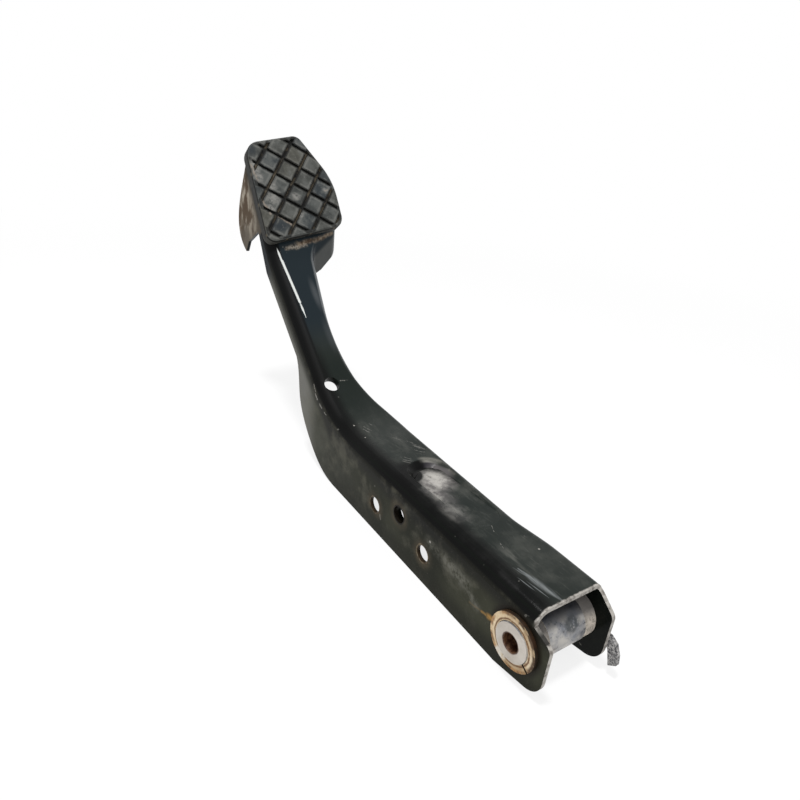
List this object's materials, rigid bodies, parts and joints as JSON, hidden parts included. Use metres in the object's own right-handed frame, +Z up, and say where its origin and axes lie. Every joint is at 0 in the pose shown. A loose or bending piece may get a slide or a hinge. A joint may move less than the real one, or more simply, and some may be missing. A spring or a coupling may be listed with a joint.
{
  "type": "brake pedal",
  "caption": "Pressed channel brake pedal arm with a rubber tread pad at the top and a sleeved pivot in split bushes at the foot.",
  "frame": {"origin": "on the pivot axis, 18 mm inside the outer face of the left flange", "axes": "+X along the arm towards the pad, +Y to the left flange along the pivot, +Z up out of the web"},
  "size_m": [0.3361, 0.0591, 0.1861],
  "materials": {
    "black_paint": "glossy, worn",
    "pad_rubber": "matt, dusty",
    "bush_plastic": "satin, rust stained",
    "zinc_steel": "dull zinc",
    "grey_felt": "rough felt"
  },
  "bodies": {
    "pedal": {"pedal_arm": "black_paint", "rubber_pad": "pad_rubber", "bush_left": "bush_plastic", "bush_right": "bush_plastic", "felt_shred": "grey_felt"},
    "sleeve": {"spacer_sleeve": "zinc_steel"}
  },
  "joints": [
    {"name": "pivot_turn", "type": "hinge", "parent": "pedal", "child": "sleeve", "pos_m": [0, 0, 0], "axis": [0, 1, 0], "continuous": true}
  ]
}
